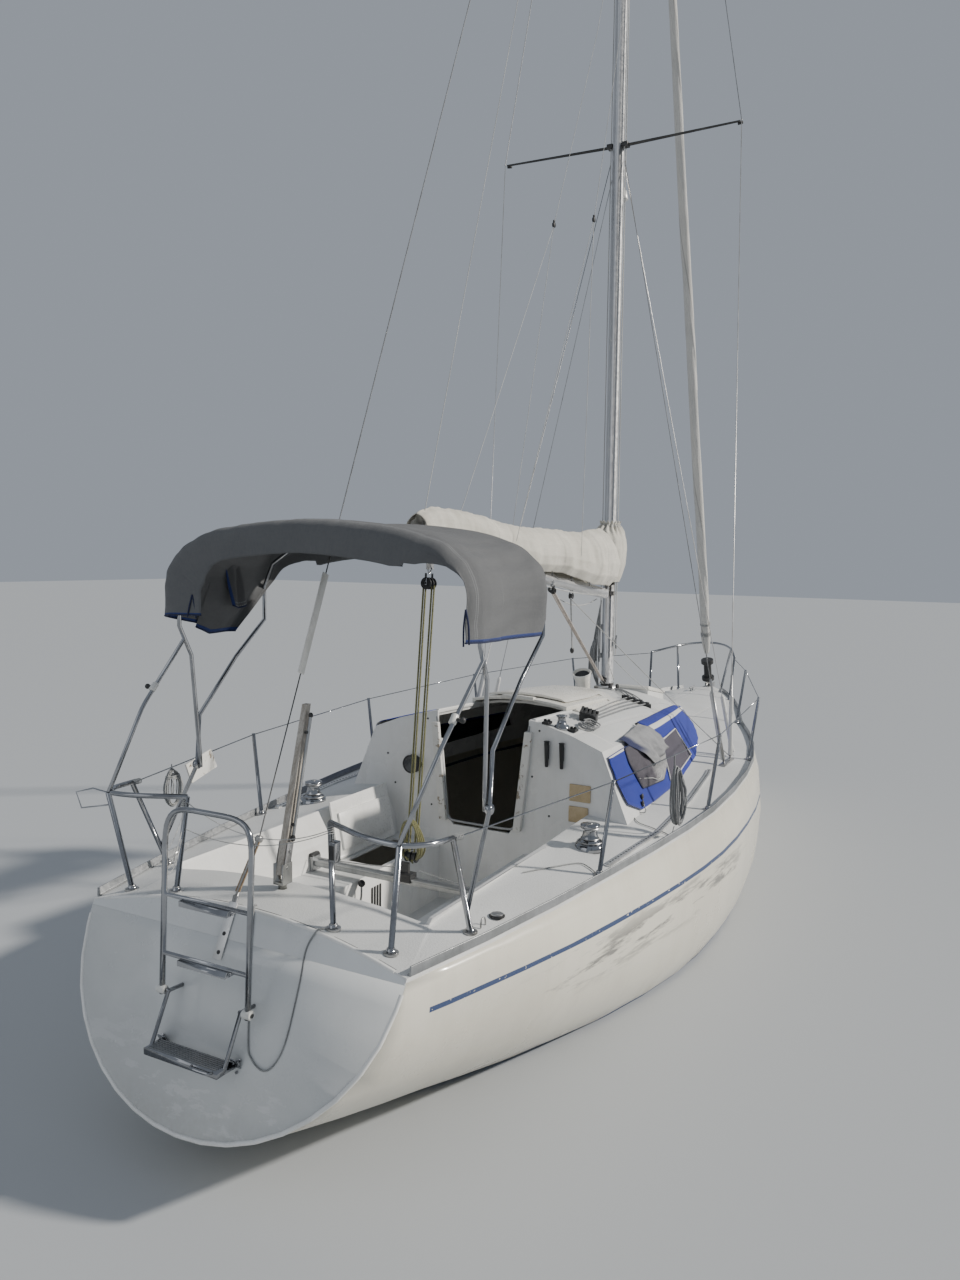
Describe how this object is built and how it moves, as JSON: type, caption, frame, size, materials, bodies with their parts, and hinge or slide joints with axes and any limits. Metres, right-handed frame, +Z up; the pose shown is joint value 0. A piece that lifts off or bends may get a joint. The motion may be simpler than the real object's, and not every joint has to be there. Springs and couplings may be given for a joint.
{
  "type": "sailing yacht",
  "caption": "Keeled sloop afloat: cabin trunk, open tiller cockpit, mast and boom with covered mainsail, furled genoa, bimini, swim ladder.",
  "frame": {"origin": "on the centreline at the waterline, under the middle of the overall length", "axes": "+X to the bow, +Y to port, +Z up"},
  "size_m": [8.2768, 2.7866, 12.552],
  "materials": {
    "gelcoat_cream": "glossy, slightly weathered",
    "deck_grey": "satin with moulded grip",
    "alloy": "satin anodised",
    "steel": "polished",
    "black_fittings": "satin",
    "antifoul": "matt",
    "bronze": "dull",
    "acrylic": "clear",
    "blue_cloth": "woven",
    "canvas": "woven",
    "grey_cloth": "woven",
    "sailcloth": "woven, faded edge strip",
    "grey_wood": "bare, weathered",
    "painted_wood": "painted, worn",
    "engine_paint": "painted",
    "rope_olive": "braided",
    "rope_grey": "braided",
    "net_grey": "open mesh"
  },
  "bodies": {
    "hull": {"hull_shell": "gelcoat_cream", "keel": "antifoul", "deck_moulding": "deck_grey", "engine_block": "engine_paint", "propeller_shaft": "bronze", "toe_rail_port": "alloy", "toe_rail_starboard": "alloy", "hatch_garage": "gelcoat_cream", "washboard_rail_port": "painted_wood", "washboard_rail_starboard": "painted_wood", "window_port": "acrylic", "window_starboard": "acrylic", "window_cover_port": "blue_cloth", "window_cover_starboard": "blue_cloth", "mesh_bag": "net_grey", "mast": "alloy", "spreaders": "black_fittings", "shrouds_port": "steel", "shrouds_starboard": "steel", "backstay": "steel", "furled_genoa": "sailcloth", "furler_drum": "black_fittings", "stem_fitting": "steel", "bow_cleat": "alloy", "sail_cover_front": "canvas", "guard_rail_port": "steel", "guard_rail_starboard": "steel", "pushpit_port": "steel", "pushpit_starboard": "steel", "pulpit": "steel", "traveller_beam": "alloy", "traveller_car": "black_fittings", "winch_port": "steel", "winch_starboard": "steel", "cabin_winch": "steel", "rope_clutches": "black_fittings", "deck_organizer": "black_fittings", "cowl_vent": "gelcoat_cream", "bulkhead_instrument": "black_fittings", "ladder_bracket": "steel", "bimini_canopy": "grey_cloth", "bimini_frame_aft": "steel", "bimini_frame_forward": "steel", "genoa_track_port": "alloy", "genoa_track_starboard": "alloy", "mainsheet_coil": "rope_olive", "lifeline_hank": "rope_olive", "pushpit_coil": "rope_grey", "rail_board": "painted_wood", "transom_cord": "rope_grey"},
    "rudder": {"rudder": "antifoul"},
    "tiller": {"tiller": "grey_wood"},
    "propeller": {"propeller": "bronze"},
    "boom": {"boom": "alloy", "sail_cover": "canvas"},
    "companion_hatch": {"companion_hatch": "gelcoat_cream"},
    "fore_hatch": {"fore_hatch": "gelcoat_cream"},
    "locker_lid": {"locker_lid": "gelcoat_cream"},
    "ladder": {"swim_ladder": "steel"}
  },
  "joints": [
    {"name": "rudder_turn", "type": "hinge", "parent": "hull", "child": "rudder", "pos_m": [-3.46, 0, 1], "axis": [0, 0, 1], "range_deg": [-35, 35]},
    {"name": "tiller_lift", "type": "hinge", "parent": "rudder", "child": "tiller", "pos_m": [-3.46, 0, 1.13], "axis": [0, 1, 0], "range_deg": [0, 72]},
    {"name": "boom_swing", "type": "hinge", "parent": "hull", "child": "boom", "pos_m": [0.5958, 0, 2.262], "axis": [0, 0, 1], "range_deg": [-60, 60]},
    {"name": "companion_hatch_slide", "type": "slide", "parent": "hull", "child": "companion_hatch", "axis": [-0.9993, 0, 0.0372], "range_m": [0, 0.5]},
    {"name": "fore_hatch_hinge", "type": "hinge", "parent": "hull", "child": "fore_hatch", "pos_m": [1.568, 0, 1.341], "axis": [0, 1, 0], "range_deg": [0, 100]},
    {"name": "locker_lid_hinge", "type": "hinge", "parent": "hull", "child": "locker_lid", "pos_m": [-1.915, 0.602, 0.729], "axis": [1, 0, 0], "range_deg": [0, 102]},
    {"name": "ladder_fold", "type": "hinge", "parent": "hull", "child": "ladder", "pos_m": [-3.962, 0, 0.712], "axis": [0, -1, 0], "range_deg": [0, 132]},
    {"name": "propeller_spin", "type": "hinge", "parent": "hull", "child": "propeller", "pos_m": [-2.868, 0, -0.338], "axis": [-0.9611, 0, -0.276], "continuous": true}
  ]
}
